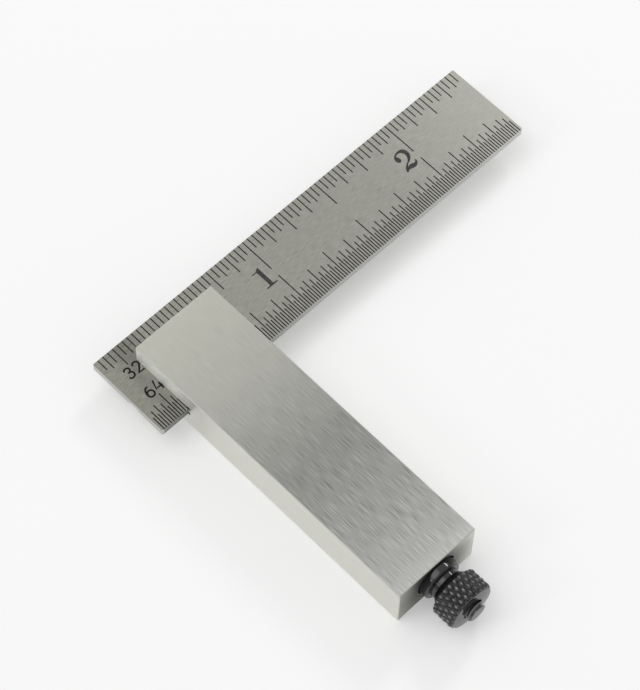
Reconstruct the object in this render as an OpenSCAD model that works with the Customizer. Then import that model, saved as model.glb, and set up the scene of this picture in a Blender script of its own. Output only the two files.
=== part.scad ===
// Small double square: a rectangular head with a graduated blade clamped in a slot across one end.
// A draw bolt inside the head hooks into a groove under the blade, and a knurled nut pulls it tight.
// Origin: centre of the head's lower face. X runs along the blade, Y along the head towards the
// blade, and Z up through the thickness of the head.

/* [Head] */
// Width of the head, measured along the blade
head_w = 12.7; // [11:0.1:20]
// Length of the head, from its nut end to its slotted end
head_l = 46.04; // [40:0.01:80]
// Thickness of the head
head_t = 7.14; // [7:0.01:10]
// Break on the outer edges of the head
head_edge = 0.1; // [0.05:0.05:0.3]

/* [Blade slot] */
// Depth of the slot, from the end of the head down to the seat of the blade's edge
slot_depth = 9.525; // [9:0.005:12]
// Gap between the blade and each wall of the slot
slot_gap = 0.03; // [0.01:0.01:0.1]
// Radius of the relief in each inner corner of the slot
relief_r = 0.3; // [0.1:0.05:0.5]

/* [Blade] */
// Length of the blade
blade_l = 63.5; // [50:0.1:110]
// Width of the blade
blade_w = 12.7; // [12:0.1:16]
// Thickness of the blade
blade_t = 1.19; // [0.9:0.01:1.6]
// How far the blade's left end stands out past the left face of the head
blade_out = 4.39; // [0:0.01:20]
// Break at the four corners of the blade
blade_corner = 0.1; // [0.05:0.05:0.5]
// Width of the clamp groove under the blade
groove_w = 2.4; // [2.2:0.05:3]
// Depth of the clamp groove
groove_depth = 0.5; // [0.35:0.05:0.55]
// Distance from the seated edge of the blade to the middle of the groove
groove_in = 5.15; // [4:0.05:6.5]

/* [Graduations] */
// Width of an engraved line
line_w = 0.16; // [0.06:0.01:0.2]
// Depth of an engraved line
line_depth = 0.05; // [0.02:0.01:0.1]
// Lengths of the lines on the top's seated edge: 64ths, 32nds, 16ths, 8ths, quarters, half, inch
lines_64 = [2.05, 2.9, 3.35, 4.1, 4.6, 5.1, 6.05]; // [0.5:0.05:6.2]
// Lengths of the lines on the top's outer edge: 32nds, 16ths, 8ths, quarters, half, inch
lines_32 = [1.8, 2.25, 3, 3.4, 4.2, 5.4]; // [0.5:0.05:6]
// Lengths of the lines on the underside's seated edge: 16ths, 8ths, quarters, half, inch
lines_16 = [1.7, 2.2, 2.7, 3.1, 3.6]; // [0.5:0.05:3.8]
// Lengths of the lines on the underside's outer edge: 8ths, quarters, half, inch
lines_8 = [2.4, 3.2, 4.2, 5.4]; // [0.5:0.05:6]

/* [Lock bolt] */
// Diameter of the stem and of its screw thread
stem_d = 2.845; // [2:0.005:3.2]
// Rise of the screw thread in one turn
thread_pitch = 0.635; // [0.4:0.005:0.8]
// Turns of the nut between clamped and loose
loose_turns = 1; // [0.5:0.1:1.2]
// Diameter of the guide, the thick end of the bolt
guide_d = 4.6; // [4:0.05:5]
// Length of the guide that is left fully round
guide_l = 5; // [3:0.1:10]
// Distance from the middle of the hook to the blade end of the bolt
hook_end = 1.4; // [1.2:0.05:2.5]
// Gap between the top of the hook and the bottom of the groove
hook_top_gap = 0.1; // [0.06:0.01:0.15]
// Gap between the hook and the side of the groove when the nut is tight
hook_side_gap = 0.015; // [0.01:0.005:0.03]
// Room left on each side of the hook beyond the travel of the bolt
hook_spare = 0.01; // [0.005:0.005:0.05]
// Gap between the flat of the bolt and the underside of the blade
flat_gap = 0.05; // [0.02:0.01:0.1]
// Room between the blade's edge and the round of the guide when the nut is loose
flat_spare = 0.2; // [0.1:0.05:0.5]
// Length of stem that stands out of the tight nut
stem_out = 0.8; // [0.6:0.05:3]
// Break on the ends of the bolt
bolt_edge = 0.3; // [0.1:0.05:0.5]
// Running gap round the stem in the head, on the radius
stem_gap = 0.08; // [0.03:0.01:0.1]
// Running gap round the guide in the head, on the radius
guide_gap = 0.05; // [0.03:0.01:0.1]

/* [Spring] */
// Length of the spring when the nut is tight
spring_l = 5; // [4:0.1:10]
// Diameter of the spring's wire
wire_d = 0.45; // [0.3:0.01:0.5]
// Turns between the two closed end turns
open_turns = 4; // [3:1:6]

/* [Knurled nut] */
// Diameter of the smooth collar that sits in the end of the head
collar_d = 5.7; // [5.2:0.05:5.8]
// Depth of the seat for the collar in the end of the head
collar_seat = 1; // [0.5:0.05:3]
// Length of collar that stands out of the head
collar_out = 1.2; // [0.8:0.05:2]
// Rounding of the collar's outer edge
collar_round = 0.35; // [0.1:0.05:0.5]
// Diameter of the neck between the collar and the grip
neck_d = 4.4; // [4:0.05:5]
// Length of the neck
neck_l = 0.6; // [0.3:0.05:1.5]
// Length of the cone from the neck up to the grip
cone_l = 0.9; // [0.4:0.05:2]
// Diameter of the grip over the lands of the knurling
grip_d = 6.9; // [6.4:0.05:7]
// Length of the grip
grip_l = 3.25; // [2:0.05:8]
// Chamfer at the collar's end of the grip
grip_back_edge = 0.15; // [0.1:0.05:0.3]
// Chamfer at the front end of the grip
grip_front_edge = 0.35; // [0.1:0.05:0.5]
// Rise of the domed front face
grip_dome = 0.15; // [0.05:0.05:0.4]
// Depth of the knurl's grooves
knurl_depth = 0.3; // [0.1:0.02:0.3]
// Metal that is missing at the tip of each diamond, which leaves a small flat land
knurl_land = 0.06; // [0.02:0.01:0.1]
// Diamonds in one row round the grip
knurl_count = 25; // [20:1:36]
// Angle between the knurl's grooves and the bolt's axis
knurl_angle = 30; // [25:1:45]
// Countersink at the front end of the nut's bore
bore_mouth = 0.1; // [0.05:0.05:0.3]
// Running gap round the collar in its seat, on the radius
collar_gap = 0.2; // [0.1:0.01:0.25]
// Running gap between the nut's bore and the stem, on the radius
nut_gap = 0.05; // [0.02:0.01:0.1]
// Gap between the collar and the bottom of its seat
seat_gap = 0.02; // [0.01:0.01:0.05]

/* [Hidden] */
$fn = 96;
inch = 25.4;
cut = 0.5;                // how far a cutting solid runs past the face that it cuts
small_gap = 0.05;         // space between turns or faces that pass close without touching

steel = [0.72, 0.72, 0.69];
blade_steel = [0.64, 0.64, 0.6];
spring_steel = [0.5, 0.5, 0.52];
black_oxide = [0.1, 0.1, 0.12];

// Places along the head
nut_end_y = -head_l / 2;
slot_floor_y = head_l / 2 - slot_depth;
axis_z = head_t / 2;

// Blade at rest
blade_x = -head_w / 2 - blade_out;
blade_z = axis_z - blade_t / 2;
groove_r = (groove_w * groove_w / 4 + groove_depth * groove_depth) / (2 * groove_depth);
groove_y = slot_floor_y + groove_in;
groove_z = blade_z + groove_depth - groove_r;

// Travel of the bolt, and the hook that has room for it in the groove
bolt_travel = thread_pitch * loose_turns;
half_play = bolt_travel / 2 + hook_spare;
hook_slack = (half_play * half_play / (hook_top_gap - hook_side_gap) + hook_top_gap + hook_side_gap) / 2;
hook_r = groove_r - hook_slack;
hook_y = groove_y - half_play;
hook_z = blade_z + groove_depth - hook_top_gap - hook_r;

// Lock bolt along its axis
flat_z = blade_z - flat_gap;
bolt_end_y = hook_y + hook_end;
flat_y = slot_floor_y - bolt_travel - flat_spare;
guide_y = flat_y - guide_l;
chamber_y = guide_y - spring_l;
chamber_r = guide_d / 2 + guide_gap;
stem_hole_r = stem_d / 2 + stem_gap;
nut_l = collar_out + neck_l + cone_l + grip_l + grip_dome;
stem_end_y = nut_end_y - nut_l - stem_out;

// Spring, midway between the stem and the wall of its chamber
coil_r = (stem_d / 2 + chamber_r) / 2;
closed_rise = wire_d + small_gap;
open_rise = (spring_l - wire_d - 2 * closed_rise) / open_turns;
coil_turns = open_turns + 2;
rings_per_turn = 14;
wire_sides = 8;

// Nut
collar_hole_r = collar_d / 2 + collar_gap;
grip_r = grip_d / 2;
grip_root_r = grip_r - knurl_depth;
knurl_cols = 2 * knurl_count;
knurl_rise = PI * grip_d / knurl_cols / tan(knurl_angle);
knurl_rows = ceil((grip_l + grip_dome + 2 * cut) / knurl_rise);

// Puts its children on the bolt's axis, starting at the given place and pointing at the blade
module on_axis(y) {
    translate([0, y, axis_z])
        rotate([-90, 0, 0])
            children();
}

// Puts its children on the bolt's axis, starting at the head's end and pointing away from it
module out_of_nut_end() {
    translate([0, nut_end_y, axis_z])
        rotate([90, 0, 0])
            children();
}

// Rectangle about the origin with its corners cut off
module broken_rectangle(width, length, edge) {
    x = width / 2;
    y = length / 2;
    polygon([
        [edge - x, -y], [x - edge, -y], [x, edge - y], [x, y - edge],
        [x - edge, y], [edge - x, y], [-x, y - edge], [-x, edge - y]
    ]);
}

// Block of the head with all its outer edges broken
module head_block() {
    intersection() {
        linear_extrude(head_t)
            broken_rectangle(head_w, head_l, head_edge);
        translate([0, head_l / 2, axis_z])
            rotate([90, 0, 0])
                linear_extrude(head_l)
                    broken_rectangle(head_w, head_t, head_edge);
        translate([-head_w / 2, 0, axis_z])
            rotate([90, 0, 90])
                linear_extrude(head_w)
                    broken_rectangle(head_l, head_t, head_edge);
    }
}

// Slot for the blade, with a round relief in its two inner corners
module blade_slot() {
    slot_h = blade_t + 2 * slot_gap;
    across = head_w + 2 * cut;
    translate([-across / 2, slot_floor_y, axis_z - slot_h / 2])
        cube([across, slot_depth + cut, slot_h]);
    for (side = [-1, 1])
        translate([-across / 2, slot_floor_y, axis_z + side * slot_h / 2])
            rotate([0, 90, 0])
                cylinder(r = relief_r, h = across);
}

// Stepped hole for the bolt: spring chamber, stem hole and collar seat
module bolt_hole() {
    mouth = head_edge / 2;
    on_axis(chamber_y)
        cylinder(r = chamber_r, h = head_l / 2 - chamber_y + cut);
    on_axis(nut_end_y - cut)
        cylinder(r = stem_hole_r, h = chamber_y - nut_end_y + 2 * cut);
    on_axis(nut_end_y - cut)
        cylinder(r = collar_hole_r, h = collar_seat + cut);
    on_axis(nut_end_y)
        cylinder(r1 = collar_hole_r + mouth, r2 = collar_hole_r, h = mouth);
}

module head() {
    color(steel)
        difference() {
            head_block();
            blade_slot();
            bolt_hole();
        }
}

// How many times a count can be halved, up to the whole inch
function line_level(count, parts) = parts == 1 || count % 2 == 1 ? 0 : 1 + line_level(count / 2, parts / 2);

// One edge's row of lines, growing from the edge at y = 0 into the blade
module line_row(parts, lengths) {
    step = inch / parts;
    for (count = [1 : floor(blade_l / step - 0.5)])
        translate([count * step - line_w / 2, -cut])
            square([line_w, lengths[line_level(count, parts)] + cut]);
}

// Both rows of one face of the blade: the seated edge and the outer edge
module face_lines(seat_parts, seat_lengths, outer_parts, outer_lengths) {
    line_row(seat_parts, seat_lengths);
    translate([0, blade_w])
        mirror([0, 1])
            line_row(outer_parts, outer_lengths);
}

module blade() {
    color(blade_steel)
        translate([blade_x, slot_floor_y, blade_z])
            difference() {
                linear_extrude(blade_t)
                    translate([blade_l / 2, blade_w / 2])
                        broken_rectangle(blade_l, blade_w, blade_corner);
                translate([-cut, groove_in, groove_z - blade_z])
                    rotate([0, 90, 0])
                        cylinder(r = groove_r, h = blade_l + 2 * cut);
                translate([0, 0, blade_t - line_depth])
                    linear_extrude(line_depth + cut)
                        face_lines(64, lines_64, 32, lines_32);
                translate([0, 0, -cut])
                    linear_extrude(line_depth + cut)
                        face_lines(16, lines_16, 8, lines_8);
            }
}

// Round stock of the bolt, turned to its stem and guide
module bolt_stock() {
    stem_l = guide_y - stem_end_y;
    all_l = bolt_end_y - stem_end_y;
    stem_r = stem_d / 2;
    guide_r = guide_d / 2;
    on_axis(stem_end_y)
        rotate_extrude()
            polygon([
                [0, 0], [stem_r - bolt_edge, 0], [stem_r, bolt_edge], [stem_r, stem_l],
                [guide_r - bolt_edge, stem_l], [guide_r, stem_l + bolt_edge],
                [guide_r, all_l - bolt_edge], [guide_r - bolt_edge, all_l], [0, all_l]
            ]);
}

// Metal milled off the bolt under the blade, all but the round-topped hook
module bolt_flat() {
    difference() {
        translate([-guide_d, flat_y, flat_z])
            cube([2 * guide_d, bolt_end_y - flat_y + cut, guide_d]);
        translate([-guide_d - cut, hook_y, hook_z])
            rotate([0, 90, 0])
                cylinder(r = hook_r, h = 2 * (guide_d + cut));
    }
}

module lock_bolt() {
    color(black_oxide)
        difference() {
            bolt_stock();
            bolt_flat();
        }
}

// Height of the wire's centre after some turns: closed at both ends and open between
function coil_rise(turn) =
    closed_rise * min(turn, 1)
    + open_rise * max(0, min(turn - 1, open_turns))
    + closed_rise * max(0, turn - 1 - open_turns);

// One point on the wire, at a turn and an angle round the wire
function wire_point(turn, around) =
    let (reach = coil_r + wire_d / 2 * cos(around))
    [reach * cos(360 * turn), reach * sin(360 * turn), wire_d / 2 * (1 + sin(around)) + coil_rise(turn)];

module spring() {
    rings = rings_per_turn * coil_turns;
    points = [
        for (ring = [0 : rings], side = [0 : wire_sides - 1])
            wire_point(ring / rings_per_turn, 360 * side / wire_sides)
    ];
    walls = [
        for (ring = [0 : rings - 1], side = [0 : wire_sides - 1])
            let (next = (side + 1) % wire_sides, low = ring * wire_sides, high = low + wire_sides)
            [low + side, high + side, high + next, low + next]
    ];
    first_end = [for (side = [0 : wire_sides - 1]) side];
    last_end = [for (side = [wire_sides - 1 : -1 : 0]) rings * wire_sides + side];
    color(spring_steel)
        on_axis(chamber_y)
            polyhedron(points, concat(walls, [first_end, last_end]));
}

// One ring of the knurl's grid, with crests and roots by turns
function knurl_ring(row) = [
    for (col = [0 : knurl_cols - 1])
        let (
            angle = 360 * col / knurl_cols,
            radius = (row + col) % 2 == 0 ? grip_r + knurl_land : grip_root_r
        )
        [radius * cos(angle), radius * sin(angle), row * knurl_rise]
];

// Two triangles between four neighbours of the grid, split along the groove between crests
function knurl_cell(row, col) =
    let (
        next = (col + 1) % knurl_cols,
        a = row * knurl_cols + col,
        b = row * knurl_cols + next,
        c = (row + 1) * knurl_cols + next,
        d = (row + 1) * knurl_cols + col
    )
    (row + col) % 2 == 0 ? [[a, d, b], [b, d, c]] : [[a, c, b], [a, d, c]];

// Drum of pointed diamonds that runs past both ends of the grip
module knurled_drum() {
    points = [for (row = [0 : knurl_rows], point = knurl_ring(row)) point];
    walls = [
        for (row = [0 : knurl_rows - 1], col = [0 : knurl_cols - 1], face = knurl_cell(row, col))
            face
    ];
    back = [for (col = [0 : knurl_cols - 1]) col];
    front = [for (col = [knurl_cols - 1 : -1 : 0]) knurl_rows * knurl_cols + col];
    translate([0, 0, -cut])
        polyhedron(points, concat(walls, [back, front]));
}

// Turned shape of the grip, with one flat for each column of diamonds
module grip_blank() {
    rotate([0, 0, 180 / knurl_cols])
        rotate_extrude($fn = knurl_cols)
            polygon([
                [0, 0], [grip_r - grip_back_edge, 0], [grip_r, grip_back_edge],
                [grip_r, grip_l - grip_front_edge], [grip_r - grip_front_edge, grip_l],
                [stem_d / 2, grip_l + grip_dome], [0, grip_l + grip_dome]
            ]);
}

module grip() {
    intersection() {
        knurled_drum();
        grip_blank();
    }
}

// Points along the quarter of a circle from its right to its top
function outer_quarter(x, y, radius) = [
    for (angle = [0 : 15 : 90])
        [x + radius * cos(angle), y + radius * sin(angle)]
];

// Turned end of the nut: collar, neck and the cone that carries the grip
module nut_shank() {
    collar_r = collar_d / 2;
    neck_r = neck_d / 2;
    neck_end = collar_out + neck_l;
    cone_end = neck_end + cone_l;
    cone_r = grip_root_r - grip_back_edge;
    rotate_extrude()
        polygon(concat(
            [
                [0, seat_gap - collar_seat],
                [collar_r - small_gap, seat_gap - collar_seat],
                [collar_r, seat_gap + small_gap - collar_seat]
            ],
            outer_quarter(collar_r - collar_round, collar_out - collar_round, collar_round),
            [
                [neck_r, collar_out],
                [neck_r, neck_end],
                [cone_r, cone_end],
                [cone_r, cone_end + small_gap],
                [0, cone_end + small_gap]
            ]
        ));
}

module knurled_nut() {
    bore_r = stem_d / 2 + nut_gap;
    color(black_oxide)
        out_of_nut_end()
            difference() {
                union() {
                    nut_shank();
                    translate([0, 0, collar_out + neck_l + cone_l])
                        grip();
                }
                translate([0, 0, -collar_seat - cut])
                    cylinder(r = bore_r, h = collar_seat + nut_l + 2 * cut);
                translate([0, 0, nut_l - bore_mouth])
                    cylinder(r1 = bore_r, r2 = bore_r + bore_mouth + cut, h = bore_mouth + cut);
            }
}

head();
blade();
lock_bolt();
spring();
knurled_nut();
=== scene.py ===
import math

import bpy
from bpy.props import FloatProperty, FloatVectorProperty, IntProperty, PointerProperty
from mathutils import Matrix, Vector


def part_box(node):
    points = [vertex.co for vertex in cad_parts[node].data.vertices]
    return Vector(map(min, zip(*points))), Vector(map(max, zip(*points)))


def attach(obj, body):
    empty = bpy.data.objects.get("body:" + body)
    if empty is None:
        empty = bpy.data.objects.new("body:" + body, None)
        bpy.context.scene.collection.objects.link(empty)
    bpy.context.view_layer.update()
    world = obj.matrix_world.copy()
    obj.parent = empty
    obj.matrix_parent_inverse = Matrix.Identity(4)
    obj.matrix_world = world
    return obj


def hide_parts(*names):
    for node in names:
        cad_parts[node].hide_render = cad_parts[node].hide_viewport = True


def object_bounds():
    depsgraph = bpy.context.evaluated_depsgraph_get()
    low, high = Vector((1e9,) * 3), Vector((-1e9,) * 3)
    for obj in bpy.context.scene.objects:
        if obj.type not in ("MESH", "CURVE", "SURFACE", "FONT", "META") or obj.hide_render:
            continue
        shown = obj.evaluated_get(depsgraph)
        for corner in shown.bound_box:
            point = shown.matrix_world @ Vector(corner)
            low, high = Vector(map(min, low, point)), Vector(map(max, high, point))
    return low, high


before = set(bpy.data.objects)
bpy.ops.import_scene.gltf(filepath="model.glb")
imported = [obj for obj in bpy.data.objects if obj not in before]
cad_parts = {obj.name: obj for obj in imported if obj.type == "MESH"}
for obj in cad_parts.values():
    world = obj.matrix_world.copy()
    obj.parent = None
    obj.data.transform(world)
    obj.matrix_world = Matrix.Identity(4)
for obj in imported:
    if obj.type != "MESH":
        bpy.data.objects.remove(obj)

bl_info = {
    "name": "Double square finish",
    "version": (1, 0, 0),
    "blender": (4, 5, 0),
    "location": "3D View > Sidebar > Double square",
    "description": "Steel, scale paint, numbers and screw thread of a small double square",
    "category": "Object",
}

CAD_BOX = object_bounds()
MM = 0.001
INCH = 25.4 * MM
TOUCH = 0.0001 * MM         # points nearer than this to each other or to a cutting plane meet
FACING = 0.8                # how squarely a face has to look along an axis to count as facing it

HEAD_LOW, HEAD_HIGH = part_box("head")
BLADE_LOW, BLADE_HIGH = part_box("blade")
BOLT_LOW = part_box("lock_bolt")[0]
NUT_LOW, NUT_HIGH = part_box("knurled_nut")
NUT_MIDDLE = (NUT_LOW + NUT_HIGH) / 2

# Outlines of the two inch numbers, in millimetres from the lower left corner. C marks a sharp corner.
INCH_ONE = [[
    (0, 0, "C"), (1.78, 0.02, "C"), (1.78, 0.18, "C"), (1.19, 0.24, "C"), (1.2, 3.18, "C"),
    (0.92, 3.1, ""), (0.6, 2.88, ""), (-0.07, 2.88, "C"), (-0.07, 2.7, "C"),
    (0.62, 2.7, "C"), (0.61, 0.24, "C"), (0, 0.18, "C"),
]]
INCH_TWO = [[
    (0.03, 0.04, "C"), (0.06, 0.3, ""), (0.29, 0.66, ""), (0.76, 1.07, ""), (1.22, 1.32, ""), (1.6, 1.8, ""),
    (1.66, 2.4, ""), (1.38, 2.85, ""), (0.85, 2.93, ""), (0.56, 2.72, "C"), (0.74, 2.42, ""), (0.74, 2.0, ""),
    (0.44, 1.78, ""), (0.14, 2.0, ""), (0.12, 2.5, ""), (0.42, 2.96, ""), (1.2, 3.26, ""), (1.98, 3.05, ""),
    (2.25, 2.4, ""), (2.08, 1.7, ""), (1.56, 1.2, ""), (0.95, 0.92, ""), (0.66, 0.62, "C"), (0.98, 0.74, ""),
    (1.38, 0.7, ""), (1.68, 0.56, ""), (1.94, 0.66, ""), (2.12, 0.96, "C"), (2.2, 0.6, ""), (1.86, 0.16, ""),
    (1.34, 0, ""), (0.8, 0.16, ""), (0.42, 0.2, ""), (0.16, 0.02, "C"),
]]

# Middle lines of the small numbers, in millimetres, engraved with one round-ended cutter
STROKES = {
    "1": [[(0.1, 1.22, "C"), (0.45, 1.56, "C"), (0.45, 0, "C")]],
    "2": [[(0.02, 1.2, ""), (0.14, 1.46, ""), (0.43, 1.56, ""), (0.76, 1.42, ""), (0.84, 1.1, ""),
           (0.62, 0.7, ""), (0, 0, "C"), (0.9, 0, "C")]],
    "3": [[(0.02, 1.3, ""), (0.16, 1.49, ""), (0.43, 1.56, ""), (0.74, 1.42, ""), (0.78, 1.1, ""),
           (0.62, 0.9, ""), (0.36, 0.85, "C"), (0.66, 0.8, ""), (0.88, 0.5, ""), (0.76, 0.14, ""),
           (0.43, 0, ""), (0.14, 0.08, ""), (0, 0.3, "")]],
    "4": [[(0.42, 1.7, "C"), (0, 0.5, "C"), (1.12, 0.5, "C")], [(0.8, 1, "C"), (0.8, -0.02, "C")]],
    "6": [[(0.74, 1.5, ""), (0.36, 1.4, ""), (0.08, 1, ""), (0, 0.48, ""), (0.14, 0.12, ""),
           (0.46, 0, ""), (0.8, 0.14, ""), (0.92, 0.48, ""), (0.76, 0.82, ""), (0.46, 0.94, ""),
           (0.16, 0.82, ""), (0.02, 0.56, "")]],
    "8": [[(0.45, 0.84, ""), (0.12, 1, ""), (0.08, 1.36, ""), (0.45, 1.56, ""), (0.82, 1.36, ""),
           (0.78, 1, ""), (0.45, 0.84, ""), (0.08, 0.66, ""), (0, 0.36, ""), (0.16, 0.08, ""),
           (0.45, 0, ""), (0.74, 0.08, ""), (0.9, 0.36, ""), (0.82, 0.66, ""), (0.45, 0.84, "")]],
}
STROKE_STEP = 1.36          # from one small digit to the next, in millimetres


class PaintSettings(bpy.types.PropertyGroup):
    """Black paint in the engraved lines and the numbers"""
    engraved_depth: FloatProperty(
        name="Engraved depth", description="Depth of the engraved lines below the face of the blade",
        default=0.05 * MM, unit="LENGTH", precision=6)
    line_fill: FloatProperty(
        name="Line fill", description="Thickness of the paint in an engraved line",
        default=0.042 * MM, unit="LENGTH", precision=6)
    line_rim: FloatProperty(
        name="Line rim", description="Width of the rim of paint that clings to the wall of a line",
        default=0.022 * MM, unit="LENGTH", precision=6)
    line_dip: FloatProperty(
        name="Line dip", description="How far the paint sinks in the middle of a line",
        default=0.012 * MM, unit="LENGTH", precision=6)
    number_rise: FloatProperty(
        name="Number thickness", description="How far the paint of a number stands above the blade",
        default=0.008 * MM, unit="LENGTH", precision=6)
    stroke_width: FloatProperty(
        name="Stroke width", description="Width of the strokes of the small numbers",
        default=0.25 * MM, unit="LENGTH", precision=6)
    inch_gap: FloatProperty(
        name="Number to inch line", description="Gap between the right side of an inch number and its line",
        default=0.6 * MM, unit="LENGTH", precision=6)
    inch_seat: FloatProperty(
        name="Inch number height",
        description="From the seated edge of the blade to the foot of an inch number",
        default=5.48 * MM, unit="LENGTH", precision=6)
    colour: FloatVectorProperty(
        name="Paint", description="Colour of the paint in the lines and the small numbers",
        default=(0.0105, 0.0105, 0.0097), subtype="COLOR", size=3)
    inch_colour: FloatVectorProperty(
        name="Inch number paint", description="Colour of the worn paint of the inch numbers",
        default=(0.036, 0.036, 0.034), subtype="COLOR", size=3)


class SteelSettings(bpy.types.PropertyGroup):
    """Bright steel of the head, the blade and the spring"""
    head_colour: FloatVectorProperty(
        name="Head steel", description="Colour of the ground steel of the head",
        default=(0.655, 0.655, 0.629), subtype="COLOR", size=3)
    blade_colour: FloatVectorProperty(
        name="Blade steel", description="Colour of the satin steel of the blade",
        default=(0.515, 0.513, 0.496), subtype="COLOR", size=3)
    spring_colour: FloatVectorProperty(
        name="Spring steel", description="Colour of the drawn wire of the spring",
        default=(0.5, 0.5, 0.52), subtype="COLOR", size=3)
    head_line: FloatProperty(
        name="Head line width", description="Width of the fine grinding lines along the head",
        default=0.06 * MM, unit="LENGTH", precision=6)
    head_run: FloatProperty(
        name="Head line length", description="Length of the fine grinding lines along the head",
        default=2.7 * MM, unit="LENGTH", precision=6)
    blade_line: FloatProperty(
        name="Blade line width", description="Width of the fine polishing lines along the blade",
        default=0.085 * MM, unit="LENGTH", precision=6)
    blade_run: FloatProperty(
        name="Blade line length", description="Length of the fine polishing lines along the blade",
        default=1.19 * MM, unit="LENGTH", precision=6)
    edge_width: FloatProperty(
        name="Dull edge", description="Width of the band along an edge that handling has dulled",
        default=0.2 * MM, unit="LENGTH", precision=6)
    rough: FloatProperty(
        name="Roughness", description="Roughness of the ground faces", default=0.34, min=0.05, max=1.0)
    end_rough: FloatProperty(
        name="End roughness", description="Roughness of the ends of the head",
        default=0.5, min=0.05, max=1.0)


class BlackSettings(bpy.types.PropertyGroup):
    """Blackened steel of the bolt and the nut"""
    colour: FloatVectorProperty(
        name="Black oxide", description="Colour of the blackened steel",
        default=(0.011, 0.011, 0.013), subtype="COLOR", size=3)
    # Worn crests: the lighter colour is real wear and also a painted highlight of the glints on the lands
    worn_glint_colour: FloatVectorProperty(
        name="Worn crests", description="Colour of the steel where fingers have worn the black",
        default=(0.42, 0.42, 0.43), subtype="COLOR", size=3)
    dust_colour: FloatVectorProperty(
        name="Grooves", description="Colour of the grooves of the knurl, which hold a little dust",
        default=(0.075, 0.075, 0.077), subtype="COLOR", size=3)
    groove_reach: FloatProperty(
        name="Groove reach", description="How far below the lands the grooves of the knurl hold dust",
        default=0.33 * MM, unit="LENGTH", precision=6)
    thread_pitch: FloatProperty(
        name="Thread pitch", description="Rise of the screw thread in one turn",
        default=0.635 * MM, unit="LENGTH", precision=6)
    thread_depth: FloatProperty(
        name="Thread depth", description="Depth of the screw thread",
        default=0.34 * MM, unit="LENGTH", precision=6)
    thread_length: FloatProperty(
        name="Thread length", description="Length of the stem that is threaded",
        default=9.5 * MM, unit="LENGTH", precision=6)
    thread_steps: IntProperty(
        name="Thread steps", description="Steps of one turn of the thread", default=40, min=12, max=96)
    tip_chamfer: FloatProperty(
        name="Tip chamfer", description="Chamfer at the end of the stem",
        default=0.32 * MM, unit="LENGTH", precision=6)


class StudioSettings(bpy.types.PropertyGroup):
    """Floor, lights and camera"""
    floor_colour: FloatVectorProperty(
        name="Floor", description="Colour of the floor",
        default=(0.8, 0.8, 0.8), subtype="COLOR", size=3)
    floor_glow: FloatProperty(
        name="Floor glow", description="Light that comes up through the floor, as on a light table",
        default=0.292)
    sky: FloatProperty(
        name="Sky", description="Strength of the even light from all sides", default=0.5)
    box_power: FloatProperty(
        name="Soft box power", description="Power of a soft box in watts", default=1.8)
    camera_turn: FloatProperty(
        name="Camera turn", description="Turn of the camera round the square",
        default=math.radians(-45.19), unit="ROTATION")
    camera_rise: FloatProperty(
        name="Camera rise", description="Angle of the camera above the floor",
        default=math.radians(61.5), unit="ROTATION")
    camera_roll: FloatProperty(
        name="Camera roll", description="Roll of the camera about its own axis",
        default=math.radians(1.22), unit="ROTATION")
    camera_distance: FloatProperty(
        name="Camera distance", description="From the camera to the point that it looks at",
        default=340.3 * MM, unit="LENGTH")
    lens: FloatProperty(
        name="Lens", description="Focal length for a 36 mm film", default=140.87)


def activate(piece):
    """Selects one piece alone and makes it active"""
    if bpy.context.object and bpy.context.object.mode != "OBJECT":
        bpy.ops.object.mode_set(mode="OBJECT")
    bpy.ops.object.select_all(action="DESELECT")
    piece.select_set(True)
    bpy.context.view_layer.objects.active = piece


def edit_faces(piece, keep):
    """Opens a piece in edit mode with only the faces selected that keep accepts"""
    activate(piece)
    bpy.ops.object.mode_set(mode="EDIT")
    bpy.ops.mesh.select_mode(type="FACE")
    bpy.ops.mesh.select_all(action="DESELECT")
    bpy.ops.object.mode_set(mode="OBJECT")
    for face in piece.data.polygons:
        face.select = keep(face)
    bpy.ops.object.mode_set(mode="EDIT")


def close_edit():
    """Turns all faces outwards and leaves edit mode"""
    bpy.ops.mesh.select_all(action="SELECT")
    bpy.ops.mesh.normals_make_consistent(inside=False)
    bpy.ops.object.mode_set(mode="OBJECT")


def merged_copy(node, name):
    """Copy of a CAD node as a piece of its own, with its loose triangles joined"""
    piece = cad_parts[node].copy()
    piece.data = piece.data.copy()
    piece.name = name
    piece.parent = None
    for key in list(piece.keys()):
        del piece[key]
    bpy.context.scene.collection.objects.link(piece)
    edit_faces(piece, lambda face: True)
    bpy.ops.mesh.remove_doubles(threshold=TOUCH)
    bpy.ops.object.mode_set(mode="OBJECT")
    return piece


def settle(piece, name, body, material):
    """Names a finished piece, gives it its material and lets it ride on its body"""
    piece.name = name
    piece.data.name = name
    piece.data.materials.clear()
    piece.data.materials.append(material)
    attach(piece, body)


def join(pieces):
    """Joins several pieces into the first"""
    activate(pieces[0])
    for piece in pieces:
        piece.select_set(True)
    bpy.ops.object.join()
    return pieces[0]


def add_node(tree, kind, spot, inputs=None, **settings):
    """Adds a shader node at a spot, with its settings and the values or links of its inputs"""
    node = tree.nodes.new(kind)
    node.location = spot
    for name, value in settings.items():
        setattr(node, name, value)
    for name, value in (inputs or {}).items():
        if isinstance(value, bpy.types.NodeSocket):
            tree.links.new(value, node.inputs[name])
        else:
            node.inputs[name].default_value = value
    return node


def math_node(tree, operation, first, second, spot, third=0.0):
    """Adds a math node and returns its output"""
    values = {0: first, 1: second, 2: third}
    return add_node(tree, "ShaderNodeMath", spot, values, operation=operation).outputs[0]


def map_range(tree, value, low, high, to_low, to_high, spot):
    """Adds a map range node that holds its ends, and returns its output"""
    names = {"Value": value, "From Min": low, "From Max": high, "To Min": to_low, "To Max": to_high}
    return add_node(tree, "ShaderNodeMapRange", spot, names).outputs["Result"]


def mix_colours(tree, share, first, second, spot):
    """Adds a colour mix node and returns its output"""
    return add_node(tree, "ShaderNodeMix", spot, {0: share, 6: first, 7: second}, data_type="RGBA").outputs[2]


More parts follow.
